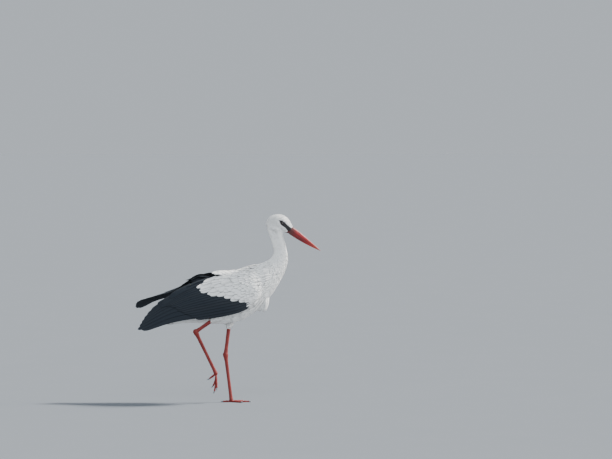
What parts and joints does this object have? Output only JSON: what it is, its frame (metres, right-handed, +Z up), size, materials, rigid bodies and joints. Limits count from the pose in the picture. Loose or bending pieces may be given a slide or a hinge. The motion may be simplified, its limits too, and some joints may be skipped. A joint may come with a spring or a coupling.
{
  "type": "white stork",
  "caption": "Life-size still model of a walking white stork, one leg on the ground and the other drawn back, wings folded, neck raised and bill pointing down in front.",
  "frame": {"origin": "on the floor under the middle of the bird, the centre of the bottom of its bounding box", "axes": "+Z up; the bird faces -Y, its left side is towards +X"},
  "size_m": [0.2037, 0.8122, 0.8298],
  "materials": {
    "plumage": "matte white feathers",
    "flight_feathers": "black feathers with a slight sheen",
    "bill": "satin red horn",
    "leg_skin": "scaled red skin",
    "claw": "dull dark horn",
    "eye": "wet dark brown"
  },
  "bodies": {
    "root": {"bill_lower": "bill", "bill_upper": "bill", "breast_plumes": "plumage", "claw_left_hind": "claw", "claw_left_inner": "claw", "claw_left_middle": "claw", "claw_left_outer": "claw", "claw_right_hind": "claw", "claw_right_inner": "claw", "claw_right_middle": "claw", "claw_right_outer": "claw", "eye_left": "eye", "eye_right": "eye", "head": "plumage", "neck_lower": "plumage", "neck_upper": "plumage", "shank_left": "leg_skin", "shank_right": "leg_skin", "tail": "plumage", "tarsus_left": "leg_skin", "tarsus_right": "leg_skin", "thigh_left": "plumage", "thigh_right": "plumage", "toe_left_hind": "leg_skin", "toe_left_inner": "leg_skin", "toe_left_middle": "leg_skin", "toe_left_outer": "leg_skin", "toe_right_hind": "leg_skin", "toe_right_inner": "leg_skin", "toe_right_middle": "leg_skin", "toe_right_outer": "leg_skin", "trunk": "plumage", "wing_left_arm": "plumage", "wing_left_primaries": "flight_feathers", "wing_left_secondaries": "flight_feathers", "wing_right_arm": "plumage", "wing_right_primaries": "flight_feathers", "wing_right_secondaries": "flight_feathers"}
  },
  "joints": []
}
